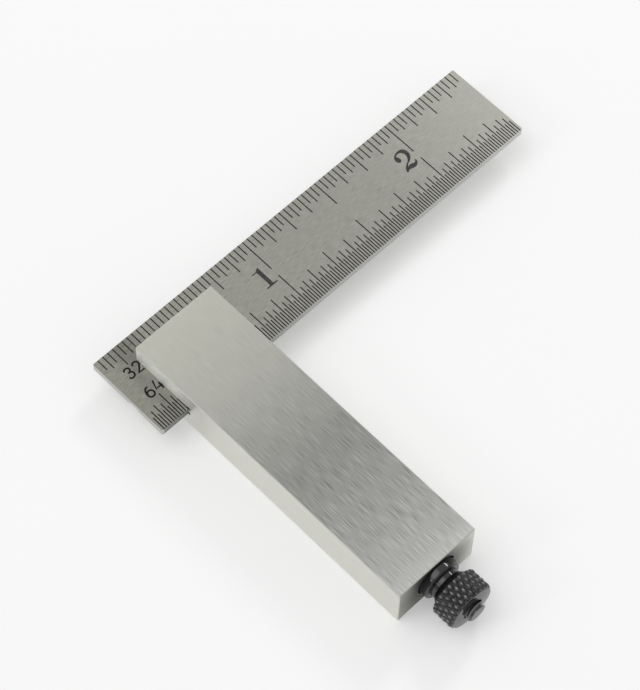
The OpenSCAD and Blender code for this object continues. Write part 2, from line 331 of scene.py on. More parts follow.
def shade(colour, factor):
    """A colour made lighter or darker, as the four numbers of a socket"""
    return (*(min(1, part * factor) for part in colour), 1)


def new_group(name, inputs, outputs):
    """Node group with named inputs and outputs: socket kind and default value by name"""
    tree = bpy.data.node_groups.new(name, "ShaderNodeTree")
    for label, (kind, default) in inputs.items():
        socket = tree.interface.new_socket(label, in_out="INPUT", socket_type=kind)
        if default is not None:
            socket.default_value = default
    for label in outputs:
        tree.interface.new_socket(label, in_out="OUTPUT", socket_type="NodeSocketFloat")
    start = tree.nodes.new("NodeGroupInput")
    start.location = (-900, 0)
    end = tree.nodes.new("NodeGroupOutput")
    end.location = (900, 0)
    return tree, start.outputs, end.inputs


def grinding_group():
    """Fine lines that run along Y, by the width and the length of one line"""
    tree, given, out = new_group(
        "Grinding lines",
        {"Vector": ("NodeSocketVector", None), "Line Width": ("NodeSocketFloat", 0.0001),
         "Line Length": ("NodeSocketFloat", 0.003)},
        ("Lines",))
    across = math_node(tree, "DIVIDE", 1.0, given["Line Width"], (-700, 200))
    along = math_node(tree, "DIVIDE", 1.0, given["Line Length"], (-700, 0))
    stretch = add_node(tree, "ShaderNodeCombineXYZ", (-500, 100), {"X": across, "Y": along, "Z": across})
    scaled = add_node(tree, "ShaderNodeVectorMath", (-320, 100), {0: given["Vector"], 1: stretch.outputs[0]},
                      operation="MULTIPLY")
    noise = add_node(tree, "ShaderNodeTexNoise", (-120, 100),
                     {"Vector": scaled.outputs[0], "Scale": 1.0, "Detail": 1.0, "Roughness": 0.5})
    lines = map_range(tree, noise.outputs["Fac"], 0.3, 0.7, 0.0, 1.0, (100, 100))
    tree.links.new(lines, out["Lines"])
    return tree


def edge_group():
    """Band along the edges of a block, broken up by noise"""
    tree, given, out = new_group(
        "Edge wear",
        {"Vector": ("NodeSocketVector", None), "Centre": ("NodeSocketVector", None),
         "Half Size": ("NodeSocketVector", None), "Width": ("NodeSocketFloat", 0.0003)},
        ("Edge",))
    moved = add_node(tree, "ShaderNodeVectorMath", (-700, 100), {0: given["Vector"], 1: given["Centre"]},
                     operation="SUBTRACT")
    reach = add_node(tree, "ShaderNodeVectorMath", (-520, 100), {0: moved.outputs[0]}, operation="ABSOLUTE")
    inside = add_node(tree, "ShaderNodeVectorMath", (-340, 100), {0: given["Half Size"], 1: reach.outputs[0]},
                      operation="SUBTRACT")
    split = add_node(tree, "ShaderNodeSeparateXYZ", (-160, 100), {0: inside.outputs[0]})
    x, y, z = (split.outputs[axis] for axis in "XYZ")
    least = math_node(tree, "MINIMUM", math_node(tree, "MINIMUM", x, y, (20, 200)), z, (200, 200))
    total = math_node(tree, "ADD", math_node(tree, "ADD", x, y, (20, 0)), z, (200, 0))
    most = math_node(tree, "MAXIMUM", math_node(tree, "MAXIMUM", x, y, (20, -200)), z, (200, -200))
    other_two = math_node(tree, "SUBTRACT", total, least, (380, 60))
    middle = math_node(tree, "SUBTRACT", other_two, most, (540, 60))
    noise = add_node(tree, "ShaderNodeTexNoise", (380, -160),
                     {"Vector": given["Vector"], "Scale": 900.0, "Detail": 3.0})
    ragged = map_range(tree, noise.outputs["Fac"], 0.3, 0.75, 0.45, 1.25, (560, -160))
    width = math_node(tree, "MULTIPLY", given["Width"], ragged, (700, -100))
    share = math_node(tree, "DIVIDE", middle, width, (720, 60))
    edge = map_range(tree, share, 0.0, 1.0, 1.0, 0.0, (860, 160))
    tree.links.new(edge, out["Edge"])
    return tree


def mottle_group():
    """Cloudy patches and fine specks, as in a blacking bath or on handled steel"""
    tree, given, out = new_group(
        "Mottle",
        {"Vector": ("NodeSocketVector", None), "Patch Scale": ("NodeSocketFloat", 400.0),
         "Speck Scale": ("NodeSocketFloat", 6000.0)},
        ("Patches", "Specks"))
    for scale, mask, detail, y in (
            ("Patch Scale", "Patches", 4.0, 120),
            ("Speck Scale", "Specks", 2.0, -120)):
        noise = add_node(tree, "ShaderNodeTexNoise", (-400, y),
                         {"Vector": given["Vector"], "Scale": given[scale], "Detail": detail})
        level = map_range(tree, noise.outputs["Fac"], 0.32, 0.68, 0.0, 1.0, (0, y))
        tree.links.new(level, out[mask])
    return tree


def scratch_group():
    """Sparse long scratches that cross the grinding at a small angle"""
    tree, given, out = new_group(
        "Scratches",
        {"Vector": ("NodeSocketVector", None), "Angle": ("NodeSocketFloat", 0.3),
         "Width": ("NodeSocketFloat", 0.00006), "Length": ("NodeSocketFloat", 0.004)},
        ("Scratch",))
    turned = add_node(tree, "ShaderNodeVectorRotate", (-700, 100),
                      {"Vector": given["Vector"], "Angle": given["Angle"]}, rotation_type="Z_AXIS")
    across = math_node(tree, "DIVIDE", 1.0, given["Width"], (-700, -100))
    along = math_node(tree, "DIVIDE", 1.0, given["Length"], (-700, -260))
    stretch = add_node(tree, "ShaderNodeCombineXYZ", (-500, -160), {"X": across, "Y": along, "Z": across})
    scaled = add_node(tree, "ShaderNodeVectorMath", (-320, 0), {0: turned.outputs[0], 1: stretch.outputs[0]},
                      operation="MULTIPLY")
    noise = add_node(tree, "ShaderNodeTexNoise", (-120, 0), {"Vector": scaled.outputs[0], "Scale": 1.0,
                                                            "Detail": 1.0})
    sparse = map_range(tree, noise.outputs["Fac"], 0.66, 0.74, 0.0, 1.0, (100, 0))
    tree.links.new(sparse, out["Scratch"])
    return tree


def place_group(tree, group, spot, inputs):
    """Places a node group in a material and returns its outputs"""
    return add_node(tree, "ShaderNodeGroup", spot, inputs, node_tree=bpy.data.node_groups[group]).outputs


def new_material(name, **values):
    """Material with a Principled BSDF whose plain values are set on its own sockets"""
    material = bpy.data.materials.new(name)
    material.use_nodes = True
    tree = material.node_tree
    shader = tree.nodes["Principled BSDF"]
    shader.location = (900, 200)
    for socket, value in values.items():
        shader.inputs[socket.replace("_", " ")].default_value = value
    place = add_node(tree, "ShaderNodeTexCoord", (-1300, 0)).outputs
    return material, tree, shader, place


def grain_vector(tree, place, along_x, spot):
    """Object coordinates whose Y runs along the grinding, and a mask of the ends, which are ground across"""
    x_turn, y_turn = (0.0, math.pi / 2) if along_x else (math.pi / 2, 0.0)
    usual = add_node(tree, "ShaderNodeMapping", spot,
                     {"Vector": place["Object"], "Rotation": (0, 0, y_turn)})
    crossed = add_node(tree, "ShaderNodeMapping", (spot[0], spot[1] - 260),
                       {"Vector": place["Object"], "Rotation": (0, 0, x_turn)})
    facing = add_node(tree, "ShaderNodeSeparateXYZ", (spot[0], spot[1] - 520), {0: place["Normal"]})
    end = math_node(tree, "ABSOLUTE", facing.outputs["X" if along_x else "Y"], 0.0,
                    (spot[0] + 200, spot[1] - 520))
    is_end = math_node(tree, "GREATER_THAN", end, FACING, (spot[0] + 380, spot[1] - 520))
    mixed = add_node(tree, "ShaderNodeMix", (spot[0] + 380, spot[1]),
                     {0: is_end, 4: usual.outputs[0], 5: crossed.outputs[0]}, data_type="VECTOR")
    return mixed.outputs[1], is_end


def ramp_outputs(tree, share, stops, spot):
    """Colour ramp through stops of share and the four numbers of a colour"""
    ramp = add_node(tree, "ShaderNodeValToRGB", spot, {"Fac": share})
    elements = ramp.color_ramp.elements
    while len(elements) < len(stops):
        elements.new(0.5)
    for element, (at, *colour) in zip(elements, stops):
        element.position = at
        element.color = colour
    return ramp.outputs


def painted_light_along(tree, place, low, high, along_x, painted_light):
    """Painted light and shade along the piece as a tint, the strength of its grain and how far it shines like
    metal
    """
    axis = "X" if along_x else "Y"
    along = add_node(tree, "ShaderNodeSeparateXYZ", (-1050, 700), {0: place["Object"]}).outputs[axis]
    start, end = getattr(low, axis.lower()), getattr(high, axis.lower())
    share = map_range(tree, along, start, end, 0.0, 1.0, (-850, 700))
    faces = ramp_outputs(tree, share, painted_light["faces"], (-650, 700))
    sides = ramp_outputs(tree, share, painted_light["sides"], (-650, 1200))
    facing = add_node(tree, "ShaderNodeSeparateXYZ", (-650, 950), {0: place["Normal"]})
    up = math_node(tree, "ABSOLUTE", facing.outputs["Z"], 0.0, (-450, 950))
    broad = math_node(tree, "GREATER_THAN", up, FACING, (-250, 950))
    # Narrow sides take their own painted light and shade, and the chamfered edges a darker painted shade that
    # dims their highlight
    bevel = map_range(tree, up, 0.0, 0.7, 0.0, 1.0, (-250, 1100))
    side = mix_colours(tree, bevel, sides["Color"], EDGE_PAINTED_SHADE, (-50, 1100))
    tint = mix_colours(tree, broad, side, faces["Color"], (130, 860))
    share_here = map_range(tree, broad, 0.0, 1.0, SIDE_GRAIN, 1.0, (-250, 640))
    grain = math_node(tree, "MULTIPLY", faces["Alpha"], share_here, (-50, 640))
    metal = math_node(tree, "MAXIMUM", broad, sides["Alpha"], (-50, 1260))
    return tint, grain, metal


def ground_steel(name, colour, line_width, line_length, low, high, along_x, edge_width, roughness,
                 end_roughness, end_shade_tones, painted_light):
    """Ground steel: lines along the piece, a few scratches, duller edges and ends, and painted light and
    shade along the piece, on its chamfered edges and on its ends
    """
    material, tree, shader, place = new_material(name, Metallic=1.0)
    vector, is_end = grain_vector(tree, place, along_x, (-1050, 200))
    tint, reach, metal = painted_light_along(tree, place, low, high, along_x, painted_light)
    if any(stop[4] < 1 for stop in painted_light["sides"]):
        tree.links.new(metal, shader.inputs["Metallic"])
    grain = place_group(tree, "Grinding lines", (-400, 300),
                        {"Vector": vector, "Line Width": line_width, "Line Length": line_length})
    cloud = place_group(tree, "Mottle", (-400, 0),
                        {"Vector": vector, "Patch Scale": 130.0, "Speck Scale": 2600.0})
    scratch = place_group(tree, "Scratches", (-400, -200), {"Vector": vector})
    edge = place_group(tree, "Edge wear", (-400, -450),
                       {"Vector": place["Object"], "Centre": (low + high) / 2,
                        "Half Size": (high - low) / 2, "Width": edge_width})
    lines = grain["Lines"]
    above = math_node(tree, "SUBTRACT", lines, 0.5, (60, 440))
    lit = math_node(tree, "MULTIPLY_ADD", above, reach, (240, 440), 1.0)
    lit = math_node(tree, "MULTIPLY_ADD", scratch["Scratch"], 0.08, (400, 380), lit)
    # The ends get a painted shade in place of the dark reflections and shadow in front of them
    end_shade = painted_end_shade(tree, place, (low + high) / 2, along_x, end_shade_tones)
    ends = add_node(tree, "ShaderNodeMix", (400, 560), {0: is_end, 2: 1.0, 3: end_shade},
                    data_type="FLOAT").outputs[0]
    lit = math_node(tree, "MULTIPLY", lit, ends, (560, 380))
    plain = add_node(tree, "ShaderNodeVectorMath", (720, 300), {0: tuple(colour), "Scale": lit},
                     operation="SCALE")
    base = add_node(tree, "ShaderNodeVectorMath", (720, 460), {0: plain.outputs[0], 1: tint},
                    operation="MULTIPLY")
    tree.links.new(base.outputs[0], shader.inputs["Base Color"])
    mean = map_range(tree, is_end, 0.0, 1.0, roughness, end_roughness, (100, 60))
    spread = map_range(tree, lines, 0.0, 1.0, 0.85, 1.18, (100, -120))
    rough = math_node(tree, "MULTIPLY", mean, spread, (320, 0))
    rough = math_node(tree, "MULTIPLY_ADD", cloud["Patches"], 0.03, (320, -160), rough)
    rough = math_node(tree, "MULTIPLY_ADD", edge["Edge"], 0.22, (520, -20), rough)
    tree.links.new(rough, shader.inputs["Roughness"])
    depth = map_range(tree, is_end, 0.0, 1.0, 0.35, 0.08, (520, -420))
    bump = add_node(tree, "ShaderNodeBump", (700, -320),
                    {"Strength": depth, "Distance": LINE_DEPTH, "Height": lines})
    tree.links.new(bump.outputs[0], shader.inputs["Normal"])
    return material


def painted_end_shade(tree, place, centre, along_x, tones):
    """Painted shade of an end face in place of its dark reflections: dark at its middle, lighter outside, and
    lighter again towards +X
    """
    inside, outside, right = tones
    around = add_node(tree, "ShaderNodeVectorMath", (-120, 700), {0: place["Object"], 1: centre},
                      operation="SUBTRACT")
    around = add_node(tree, "ShaderNodeVectorMath", (60, 700),
                      {0: around.outputs[0], 1: (0, 1, 1) if along_x else (1, 0, 1)}, operation="MULTIPLY")
    around = add_node(tree, "ShaderNodeVectorMath", (240, 700), {0: around.outputs[0]}, operation="LENGTH")
    end_shade = map_range(tree, around.outputs["Value"], *SHADE_REACH, inside, outside, (400, 700))
    across = add_node(tree, "ShaderNodeSeparateXYZ", (60, 900), {0: place["Object"]}).outputs["X"]
    lighter = map_range(tree, across, -SHADE_TURN, SHADE_TURN, 0.95, right, (240, 900))
    return math_node(tree, "MULTIPLY", end_shade, lighter, (560, 700))


def black_steel(name, settings, worn_glint_radius, groove_radius, axis_middle):
    """Oiled black steel, worn and lighter on the crests outside one radius, which also paints a highlight
    there, and dusty in the grooves above another
    """
    material, tree, shader, place = new_material(
        name, Metallic=0.0, Specular_IOR_Level=0.0, Coat_Weight=1.0, Coat_Roughness=0.07, Coat_IOR=1.65)
    mottle = place_group(tree, "Mottle", (-600, 200), {"Vector": place["Object"], "Patch Scale": 500.0,
                                                       "Speck Scale": 4500.0})
    centred = add_node(tree, "ShaderNodeMapping", (-1050, -200),
                       {"Vector": place["Object"], "Location": (-axis_middle.x, 0, -axis_middle.z),
                        "Scale": (1, 0, 1)})
    radius = add_node(tree, "ShaderNodeVectorMath", (-850, -200), {0: centred.outputs[0]},
                      operation="LENGTH").outputs["Value"]
    proud = map_range(tree, radius, worn_glint_radius - WEAR_GLINT_START, worn_glint_radius - WEAR_GLINT_FULL, 0.0, 1.0, (-600, -200))
    uneven = map_range(tree, mottle["Patches"], 0.0, 1.0, 0.35, 1.0, (-400, 0))
    patchy = math_node(tree, "MULTIPLY", proud, uneven, (-200, -160))
    outside = math_node(tree, "GREATER_THAN", radius, groove_radius, (-400, -420))
    covered = math_node(tree, "SUBTRACT", 1.0, proud, (-400, -560))
    groove = math_node(tree, "MULTIPLY", outside, covered, (-200, -460))
    black = mix_colours(tree, mottle["Patches"], shade(settings.colour, 0.7), shade(settings.colour, 1.3),
                        (-200, 200))
    dust = math_node(tree, "MULTIPLY", groove, mottle["Specks"], (-200, -300))
    dusty = mix_colours(tree, dust, black, (*settings.dust_colour, 1), (0, 200))
    # The crests are lighter: worn steel, and a painted highlight
    worn = mix_colours(tree, math_node(tree, "MULTIPLY", patchy, 0.8, (0, -160)), dusty,
                       (*settings.worn_glint_colour, 1), (200, 160))
    tree.links.new(worn, shader.inputs["Base Color"])
    rough = map_range(tree, mottle["Specks"], 0.0, 1.0, 0.3, 0.42, (200, -60))
    tree.links.new(rough, shader.inputs["Roughness"])
    bump = add_node(tree, "ShaderNodeBump", (500, -300),
                    {"Strength": 0.25, "Distance": OXIDE_DEPTH, "Height": mottle["Specks"]})
    tree.links.new(bump.outputs[0], shader.inputs["Normal"])
    return material


def wire_steel(colour):
    """Drawn spring wire with fine draw marks and darker patches of oil"""
    material, tree, shader, place = new_material("drawn_wire", Metallic=1.0)
    mottle = place_group(tree, "Mottle", (-600, 100), {"Vector": place["Object"], "Patch Scale": 900.0,
                                                       "Speck Scale": 12000.0})
    base = mix_colours(tree, mottle["Patches"], shade(colour, 0.65), shade(colour, 1.1), (-200, 200))
    tree.links.new(base, shader.inputs["Base Color"])
    rough = map_range(tree, mottle["Specks"], 0.0, 1.0, 0.25, 0.4, (-200, -100))
    tree.links.new(rough, shader.inputs["Roughness"])
    return material


def black_paint(name, colour, specular):
    """Matt black paint, a little grey where it has been wiped thin"""
    material, tree, shader, place = new_material(name, Metallic=0.0, Specular_IOR_Level=specular)
    mottle = place_group(tree, "Mottle", (-600, 100), {"Vector": place["Object"], "Patch Scale": 1500.0,
                                                       "Speck Scale": 20000.0})
    base = mix_colours(tree, mottle["Patches"], shade(colour, 0.55), shade(colour, 1.5), (-200, 200))
    tree.links.new(base, shader.inputs["Base Color"])
    rough = map_range(tree, mottle["Specks"], 0.0, 1.0, 0.45, 0.7, (-200, -100))
    tree.links.new(rough, shader.inputs["Roughness"])
    return material


def refinish(node, material):
    """Gives a CAD node its new material"""
    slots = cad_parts[node].data.materials
    slots.clear()
    slots.append(material)


# Painted light and shade along the head, from the nut to the blade, and along the blade, from its zero end:
# share of
#  the length, red, green and blue of a tint that paints the studio's reflections and shade onto the steel:
#  lighter ends and a darker middle on the head's broad faces, a brighter side wall towards the blade end of
#  the head, and on the blade a painted shadow on its faces and edges next to the head and a lighter tip. The
#  fourth number is the strength of the grain on the broad faces, and on the narrow sides how far they shine
#  like metal: the less, the more they scatter the light.
HEAD_PAINTED_LIGHT = {
    "faces": (
        (0.0, 0.98, 0.98, 0.98, 0.4), (0.06, 0.84, 0.84, 0.84, 0.55), (0.14, 0.74, 0.74, 0.74, 0.65),
        (0.36, 0.58, 0.58, 0.58, 0.65), (0.44, 0.56, 0.56, 0.555, 0.5), (0.56, 0.67, 0.67, 0.65, 0.38),
        (0.72, 0.82, 0.82, 0.78, 0.15), (1.0, 1.0, 1.0, 0.92, 0.06),
    ),
    "sides": ((0.74, 1.07, 1.07, 1.02, 1.0), (0.84, 1.48, 1.48, 1.48, 0.3)),
}
BLADE_PAINTED_LIGHT = {
    "faces": (
        (0.0, 0.71, 0.71, 0.63, 0.4), (0.025, 0.7, 0.7, 0.63, 0.4), (0.055, 0.52, 0.52, 0.47, 0.4),
        (0.075, 0.52, 0.52, 0.47, 0.4), (0.12, 0.76, 0.76, 0.69, 0.36), (0.7, 0.81, 0.81, 0.75, 0.24),
        (1.0, 1.02, 1.02, 0.95, 0.1),
    ),
    "sides": (
        (0.004, 1.05, 1.05, 1.05, 1.0), (0.006, 0.45, 0.45, 0.45, 1.0), (0.12, 0.4, 0.4, 0.4, 1.0),
        (0.4, 0.9, 0.9, 0.9, 1.0), (1.0, 1.08, 1.08, 1.08, 1.0),
    ),
}
# Painted shade: the chamfered edges are darker, which dims their highlight
EDGE_PAINTED_SHADE = (0.92, 0.92, 0.9, 1)      # tint of the broken edges
SIDE_GRAIN = 0.25                       # grain of the narrow sides as a share of the broad faces' own
LINE_DEPTH = 0.004 * MM                 # depth of the grinding lines

# Painted shade of the ends: the tone at the middle of an end, where it is darkest, outside that, and how much
# lighter
#  it is towards +X. The shade fades between the two distances of the reach from the middle, and the turn to
#  the lighter side takes the turn's distance to each side of the middle.
HEAD_END_SHADE = (0.12, 0.62, 1.6)
BLADE_END_SHADE = (1.0, 1.0, 1.0)
SHADE_REACH = (2.6 * MM, 6.4 * MM)
SHADE_TURN = 3 * MM


class SQUARE_OT_shared_effects(bpy.types.Operator):
    """Build the node groups that the materials share"""
    bl_idname = "square.shared_effects"
    bl_label = "Shared effects"

    def execute(self, context):
        grinding_group()
        edge_group()
        mottle_group()
        scratch_group()
        return {"FINISHED"}


class SQUARE_OT_bright_steel(bpy.types.Operator):
    """Finish the ground head, the satin blade and the spring"""
    bl_idname = "square.bright_steel"
    bl_label = "Bright steel"

    def execute(self, context):
        steel = context.scene.square_steel
        refinish("head", ground_steel(
            "ground_head", steel.head_colour, steel.head_line, steel.head_run, HEAD_LOW, HEAD_HIGH, False,
            steel.edge_width, steel.rough, steel.end_rough, HEAD_END_SHADE, HEAD_PAINTED_LIGHT))
        refinish("blade", ground_steel(
            "satin_blade", steel.blade_colour, steel.blade_line, steel.blade_run, BLADE_LOW, BLADE_HIGH, True,
            steel.edge_width / 2, steel.rough, steel.rough, BLADE_END_SHADE, BLADE_PAINTED_LIGHT))
        refinish("spring", wire_steel(steel.spring_colour))
        return {"FINISHED"}


# Black steel: how far below a crest its wear, which also paints a highlight, starts and is full, how much the
# thread's
#  crests are spared, how deep its grooves hold dust, the depth of the oxide's grain, and the sharpest edge
#  that is shaded smooth
WEAR_GLINT_START = 0.12 * MM
WEAR_GLINT_FULL = 0.02 * MM
THREAD_SPARED = 0.02 * MM
THREAD_DUST = 0.3 * MM
OXIDE_DEPTH = 0.002 * MM
SMOOTH_ANGLE = math.radians(28)


class SQUARE_OT_black_nut(bpy.types.Operator):
    """Finish the knurled nut in oiled black oxide with worn crests that also carry a painted highlight"""
    bl_idname = "square.black_nut"
    bl_label = "Black nut"

    def execute(self, context):
        black = context.scene.square_black
        crest = (NUT_HIGH.x - NUT_LOW.x) / 2
        refinish("knurled_nut", black_steel("black_nut_oxide", black, crest, crest - black.groove_reach,
                                            NUT_MIDDLE))
        return {"FINISHED"}


class SQUARE_OT_threaded_bolt(bpy.types.Operator):
    """Model the lock bolt with its real screw thread and finish it in black oxide"""
    bl_idname = "square.threaded_bolt"
    bl_label = "Threaded bolt"

    def execute(self, context):
        black = context.scene.square_black
        axis = Vector((NUT_MIDDLE.x, 0, NUT_MIDDLE.z))
        tip_y = BOLT_LOW.y
        root_y = tip_y + black.thread_length
        radius = stem_radius(tip_y)
        thread = thread_piece(axis, tip_y, root_y, radius, black)
        trim_to_stem(thread, axis, tip_y, root_y, radius, black.tip_chamfer)
        bolt = merged_copy("lock_bolt", "threaded_bolt")
        edit_faces(bolt, lambda face: True)
        bpy.ops.mesh.bisect(plane_co=(0, root_y, 0), plane_no=(0, 1, 0), use_fill=True, clear_inner=True,
                            threshold=TOUCH)
        close_edit()
        bolt = join([bolt, thread])
        oxide = black_steel("black_bolt_oxide", black, radius + THREAD_SPARED, radius - THREAD_DUST,
                            NUT_MIDDLE)
        settle(bolt, "threaded_bolt", "lock_bolt", oxide)
        activate(bolt)
        bpy.ops.object.shade_smooth_by_angle(angle=SMOOTH_ANGLE)
        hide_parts("lock_bolt")
        return {"FINISHED"}


def stem_radius(tip_y):
    """Radius of the bolt's stem, read from the frame near its tip"""
    near = [v.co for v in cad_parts["lock_bolt"].data.vertices if v.co.y < tip_y + 2 * MM]
    return max(co.x for co in near) - NUT_MIDDLE.x


def thread_piece(axis, tip_y, root_y, radius, black):
    """Screw thread as a solid: one tooth's outline swept along the helix, cut square at both ends"""
    pitch = black.thread_pitch
    turns = math.ceil(black.thread_length / pitch) + 3
    start = tip_y - 1.5 * pitch
    mesh = bpy.data.meshes.new("thread")
    root = radius - black.thread_depth
    outline = [(root, 0), (radius, 0.42), (radius, 0.58), (root, 1)]    # radius and share of the pitch
    mesh.from_pydata([(axis.x + r, start + share * pitch, axis.z) for r, share in outline],
                     [(0, 1), (1, 2), (2, 3)], [])
    piece = bpy.data.objects.new("thread", mesh)
    bpy.context.scene.collection.objects.link(piece)
    activate(piece)
    bpy.context.scene.cursor.location = axis
    bpy.ops.object.origin_set(type="ORIGIN_CURSOR")
    screw = piece.modifiers.new("helix", "SCREW")
    screw.axis = "Y"
    screw.screw_offset = pitch
    screw.iterations = turns
    screw.steps = black.thread_steps
    screw.render_steps = black.thread_steps
    bpy.ops.object.modifier_apply(modifier=screw.name)
    bpy.ops.object.transform_apply(location=True, rotation=False, scale=False)
    edit_faces(piece, lambda face: True)
    bpy.ops.mesh.remove_doubles(threshold=0.001 * MM)
    for place, inner, outer in ((tip_y, True, False), (root_y, False, True)):
        bpy.ops.mesh.select_all(action="SELECT")
        bpy.ops.mesh.bisect(plane_co=(0, place, 0), plane_no=(0, 1, 0), use_fill=True,
                            clear_inner=inner, clear_outer=outer, threshold=TOUCH)
    close_edit()
    return piece


def trim_to_stem(thread, axis, tip_y, root_y, radius, chamfer):
    """Cuts the thread to the round of the stem with a chamfered end"""
    length = root_y - tip_y
    bpy.ops.mesh.primitive_cylinder_add(
        vertices=96, radius=radius * 1.001, depth=length, location=(axis.x, tip_y + length / 2, axis.z),
        rotation=(math.pi / 2, 0, 0))
    blank = bpy.context.object
    bpy.ops.object.transform_apply(location=True, rotation=True, scale=True)
    edit_faces(blank, lambda face: face.center.y < tip_y + 0.01 * MM)
    bpy.ops.mesh.bevel(offset=chamfer, segments=5, profile=0.5, affect="EDGES")
    close_edit()
    activate(thread)
    trim = thread.modifiers.new("trim", "BOOLEAN")
    trim.operation = "INTERSECT"
    trim.object = blank
    trim.solver = "EXACT"
    bpy.ops.object.modifier_apply(modifier=trim.name)
    bpy.data.objects.remove(blank)


class SQUARE_OT_line_paint(bpy.types.Operator):
    """Fill the engraved lines on both faces of the blade with black paint"""
    bl_idname = "square.line_paint"
    bl_label = "Line paint"

    def execute(self, context):
        paint = context.scene.square_paint
        material = black_paint("scale_paint", paint.colour, 0.2)
        for name, face_z, up in (("line_paint_top", BLADE_HIGH.z, 1), ("line_paint_under", BLADE_LOW.z, -1)):
            piece = painted_lines(face_z, up, paint)
            settle(piece, name, "blade", material)
        return {"FINISHED"}


def painted_lines(face_z, up, paint):
    """Paint that stands on the floors of the engraved lines of one face"""
    floor_z = face_z - up * paint.engraved_depth
    near = paint.engraved_depth / 10
    piece = merged_copy("blade", "paint")

    def is_floor(face):
        return all(abs(piece.data.vertices[v].co.z - floor_z) < near for v in face.vertices)

    if not any(is_floor(face) for face in piece.data.polygons):
        raise RuntimeError("the blade has no engraved lines at the depth given")
    edit_faces(piece, lambda face: not is_floor(face))
    bpy.ops.mesh.delete(type="FACE")
    bpy.ops.mesh.select_all(action="SELECT")
    bpy.ops.mesh.dissolve_limited(angle_limit=math.radians(1))
    bpy.ops.mesh.extrude_region_move(TRANSFORM_OT_translate={"value": (0, 0, up * paint.line_fill)})
    bpy.ops.mesh.inset(thickness=paint.line_rim, depth=-paint.line_dip, use_individual=True)
    # The extrusion leaves its faces in an order that changes from run to run, so they are sorted
    bpy.context.scene.cursor.location = BLADE_LOW
    bpy.ops.mesh.select_all(action="SELECT")
    bpy.ops.mesh.sort_elements(type="CURSOR_DISTANCE", elements={"EDGE", "FACE"})
    close_edit()
    return piece


# Inch numbers on the underside: place of the foot from the seated edge, and size
UNDER_INCH_Y = 9.4 * MM
UNDER_INCH_SCALE = 0.62


class SQUARE_OT_numbers(bpy.types.Operator):
    """Model the inch numbers and the small scale numbers on both faces of the blade"""
    bl_idname = "square.numbers"
    bl_label = "Numbers"

    def execute(self, context):
        paint = context.scene.square_paint
        material = bpy.data.materials["scale_paint"]
        top = face_place(BLADE_HIGH.z, False)
        under = face_place(BLADE_LOW.z, True)
        seat_y, outer_y, zero_x = BLADE_LOW.y, BLADE_HIGH.y, BLADE_LOW.x
        inch_numbers = []
        for count, outline in ((1, INCH_ONE), (2, INCH_TWO)):
            width = max(point[0] for spline in outline for point in spline) * MM
            left = zero_x + count * INCH - paint.inch_gap - width
            inch_numbers.append(filled_number(outline, (left, seat_y + paint.inch_seat), 1.0, top, paint))
            inch_numbers.append(filled_number(outline, (left, seat_y + UNDER_INCH_Y), UNDER_INCH_SCALE, under,
                                              paint))
        settle(join(inch_numbers), "inch_numbers", "blade",
               black_paint("inch_paint", paint.inch_colour, 0.5))
        small = []
        for text, x, y, scale, place in (
                ("32", zero_x + 2.03 * MM, outer_y - 4.8 * MM, 1.0, top),
                ("64", zero_x + 2.03 * MM, seat_y + 4.27 * MM, 1.0, top),
                ("8", zero_x + 1.1 * MM, seat_y + 8.9 * MM, 0.8, under),
                ("16", zero_x + 1.1 * MM, seat_y + 3.85 * MM, 0.8, under)):
            for index, digit in enumerate(text):
                spot = (x + index * STROKE_STEP * scale * MM, y)
                small.append(stroked_number(STROKES[digit], spot, scale, place, paint))
        settle(join(small), "scale_numbers", "blade", material)
        return {"FINISHED"}


def face_place(face_z, turned):
    """Where a number lies: height of the blade's face, and whether it is read from below"""
    return {"z": face_z, "turned": turned}


def put_on_blade(curve_object, spot, place, paint):
    """Makes a number's curve a mesh and lays it on the face of the blade"""
    activate(curve_object)
    bpy.ops.object.convert(target="MESH")
    piece = bpy.context.object
    heights = [v.co.z for v in piece.data.vertices]
    flat = paint.number_rise / (max(heights) - min(heights))
    piece.data.transform(Matrix.Translation((0, 0, -min(heights))))
    piece.data.transform(Matrix.Diagonal((1, 1, flat, 1)))
    if place["turned"]:
        piece.data.transform(Matrix.Rotation(math.pi, 4, "X"))
    piece.data.transform(Matrix.Translation((spot[0], spot[1], place["z"])))
    edit_faces(piece, lambda face: True)
    bpy.ops.mesh.remove_doubles(threshold=TOUCH)
    close_edit()
    return piece


def number_curve(splines, scale, closed):
    """Bezier curve through points in millimetres, smooth but for its sharp corners"""
    curve = bpy.data.curves.new("number", "CURVE")
    for points in splines:
        spline = curve.splines.new("BEZIER")
        spline.bezier_points.add(len(points) - 1)
        spline.use_cyclic_u = closed
        for bezier, (x, y, corner) in zip(spline.bezier_points, points):
            bezier.co = (x * scale * MM, y * scale * MM, 0)
            bezier.handle_left_type = bezier.handle_right_type = "VECTOR" if corner else "AUTO"
    curve.resolution_u = 8
    piece = bpy.data.objects.new("number", curve)
    bpy.context.scene.collection.objects.link(piece)
    return piece


def filled_number(outline, spot, scale, place, paint):
    """Inch number cut out of its outline"""
    piece = number_curve(outline, scale, True)
    piece.data.dimensions = "2D"
    piece.data.fill_mode = "BOTH"
    piece.data.extrude = paint.number_rise / 2
    return put_on_blade(piece, spot, place, paint)


def stroked_number(strokes, spot, scale, place, paint):
    """Small number drawn by a round-ended cutter along its middle lines"""
    piece = number_curve(strokes, scale, False)
    piece.data.dimensions = "3D"
    piece.data.bevel_depth = paint.stroke_width * scale / 2
    piece.data.bevel_resolution = 2
    piece.data.use_fill_caps = True
    return put_on_blade(piece, spot, place, paint)


# Soft boxes: name, direction from the square and share of the power. Both have the same distance and width,
# in metres.
SOFT_BOXES = (
    ("left_box", (-0.81, 0.34, 0.48), 0.35),
    ("right_box", (0.77, 0.34, 0.54), 0.85),
)
BOX_DISTANCE = 1.0
BOX_WIDTH = 0.22

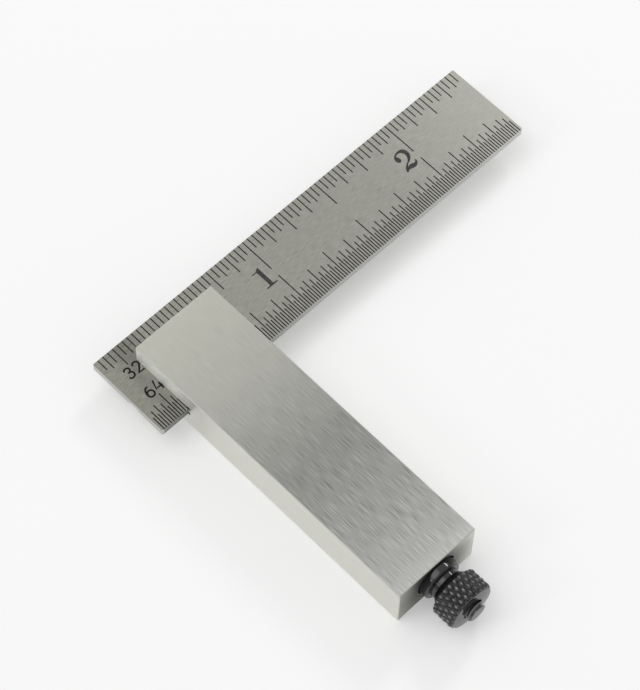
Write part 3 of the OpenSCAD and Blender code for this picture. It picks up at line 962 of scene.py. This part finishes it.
# Brighter parts of the sky: direction, and the strength that each adds. The ground faces mirror the first.
# A part has its full strength where the cosine of the angle to its direction passes the second number of
# SKY_FADE, and none below the first.
SKY_PARTS = (
    ((0.34, 0.33, 0.88), 0.15),
    ((-0.36, 0.34, 0.87), 1.4),
    ((0.34, -0.88, 0.34), 0.12),
)
SKY_FADE = (0.87, 0.98)

# The point on the floor that the camera looks at
CAMERA_TARGET = (13.07 * MM, 10.315 * MM, 0)


class SQUARE_OT_stage(bpy.types.Operator):
    """Set up the paper floor, the soft lights and the camera"""
    bl_idname = "square.stage"
    bl_label = "Stage"

    def execute(self, context):
        studio = context.scene.square_studio
        context.scene.view_settings.view_transform = "Standard"
        paper_floor(studio)
        sky(studio)
        for name, direction, share in SOFT_BOXES:
            soft_box(name, Vector(direction), studio.box_power * share)
        camera(studio)
        return {"FINISHED"}


def paper_floor(studio):
    """White light table under the square"""
    bpy.ops.mesh.primitive_plane_add(size=4, location=(0, 0, 0))
    floor = bpy.context.object
    floor.name = "paper_floor"
    material, tree, shader, place = new_material(
        "paper", Roughness=0.9, Emission_Color=(1, 1, 1, 1), Emission_Strength=studio.floor_glow)
    mottle = place_group(tree, "Mottle", (-600, 100), {"Vector": place["Object"], "Patch Scale": 30.0,
                                                       "Speck Scale": 1500.0})
    base = mix_colours(tree, mottle["Patches"], shade(studio.floor_colour, 0.995), (*studio.floor_colour, 1),
                       (-200, 200))
    tree.links.new(base, shader.inputs["Base Color"])
    floor.data.materials.append(material)


def sky(studio):
    """White light from all sides, with brighter parts"""
    world = bpy.data.worlds.new("studio_sky")
    world.use_nodes = True
    tree = world.node_tree
    place = add_node(tree, "ShaderNodeTexCoord", (-900, 0)).outputs
    strength = studio.sky
    for index, (direction, added) in enumerate(SKY_PARTS):
        near = add_node(tree, "ShaderNodeVectorMath", (-700, -200 * index),
                        {0: place["Generated"], 1: Vector(direction).normalized()}, operation="DOT_PRODUCT")
        part = map_range(tree, near.outputs["Value"], *SKY_FADE, 0.0, added, (-450, -200 * index))
        strength = math_node(tree, "ADD", part, strength, (-200, -200 * index))
    backdrop = tree.nodes["Background"]
    backdrop.inputs["Color"].default_value = (1, 1, 1, 1)
    tree.links.new(strength, backdrop.inputs["Strength"])
    bpy.context.scene.world = world


def soft_box(name, direction, power):
    """Square area light that points at the middle of the object"""
    middle = (Vector(CAD_BOX[0]) + Vector(CAD_BOX[1])) / 2
    place = middle + direction.normalized() * BOX_DISTANCE
    bpy.ops.object.light_add(type="AREA", location=place)
    light = bpy.context.object
    light.name = name
    light.rotation_euler = direction.to_track_quat("Z", "Y").to_euler()
    light.data.shape = "SQUARE"
    light.data.size = BOX_WIDTH
    light.data.energy = power


def camera(studio):
    """Camera at the photograph's angle"""
    turn, rise, roll = studio.camera_turn, studio.camera_rise, studio.camera_roll
    back = Vector((math.sin(turn) * math.cos(rise), -math.cos(turn) * math.cos(rise), math.sin(rise)))
    right = Vector((math.cos(turn), math.sin(turn), 0))
    up = back.cross(right)
    rolled_right = right * math.cos(roll) + up * math.sin(roll)
    rolled_up = up * math.cos(roll) - right * math.sin(roll)
    target = Vector(CAMERA_TARGET)
    data = bpy.data.cameras.new("camera")
    data.lens = studio.lens
    data.sensor_width = 36
    data.clip_start = 0.01
    shooter = bpy.data.objects.new("camera", data)
    bpy.context.scene.collection.objects.link(shooter)
    axes = Matrix((rolled_right, rolled_up, back)).transposed().to_4x4()
    shooter.matrix_world = Matrix.Translation(target + back * studio.camera_distance) @ axes
    bpy.context.scene.camera = shooter


class SQUARE_PT_panel(bpy.types.Panel):
    """Settings and steps of the double square"""
    bl_idname = "SQUARE_PT_panel"
    bl_label = "Double square"
    bl_space_type = "VIEW_3D"
    bl_region_type = "UI"
    bl_category = "Double square"

    def draw(self, context):
        for name, group in SETTINGS:
            box = self.layout.box()
            for setting in group.__annotations__:
                box.prop(getattr(context.scene, name), setting)
        for operator in STEPS:
            self.layout.operator(operator.bl_idname)


SETTINGS = (
    ("square_paint", PaintSettings),
    ("square_steel", SteelSettings),
    ("square_black", BlackSettings),
    ("square_studio", StudioSettings),
)
STEPS = (
    SQUARE_OT_shared_effects,
    SQUARE_OT_bright_steel,
    SQUARE_OT_black_nut,
    SQUARE_OT_threaded_bolt,
    SQUARE_OT_line_paint,
    SQUARE_OT_numbers,
    SQUARE_OT_stage,
)


def register():
    """Registers the settings, the steps and the panel"""
    for name, group in SETTINGS:
        bpy.utils.register_class(group)
        setattr(bpy.types.Scene, name, PointerProperty(type=group))
    for step in STEPS:
        bpy.utils.register_class(step)
    bpy.utils.register_class(SQUARE_PT_panel)


def unregister():
    """Takes the panel, the steps and the settings away again"""
    bpy.utils.unregister_class(SQUARE_PT_panel)
    for step in reversed(STEPS):
        bpy.utils.unregister_class(step)
    for name, group in reversed(SETTINGS):
        delattr(bpy.types.Scene, name)
        bpy.utils.unregister_class(group)


def main():
    """Dresses the square step by step"""
    register()
    for step in STEPS:
        area, name = step.bl_idname.split(".")
        getattr(getattr(bpy.ops, area), name)()


if __name__ == "__main__":
    main()
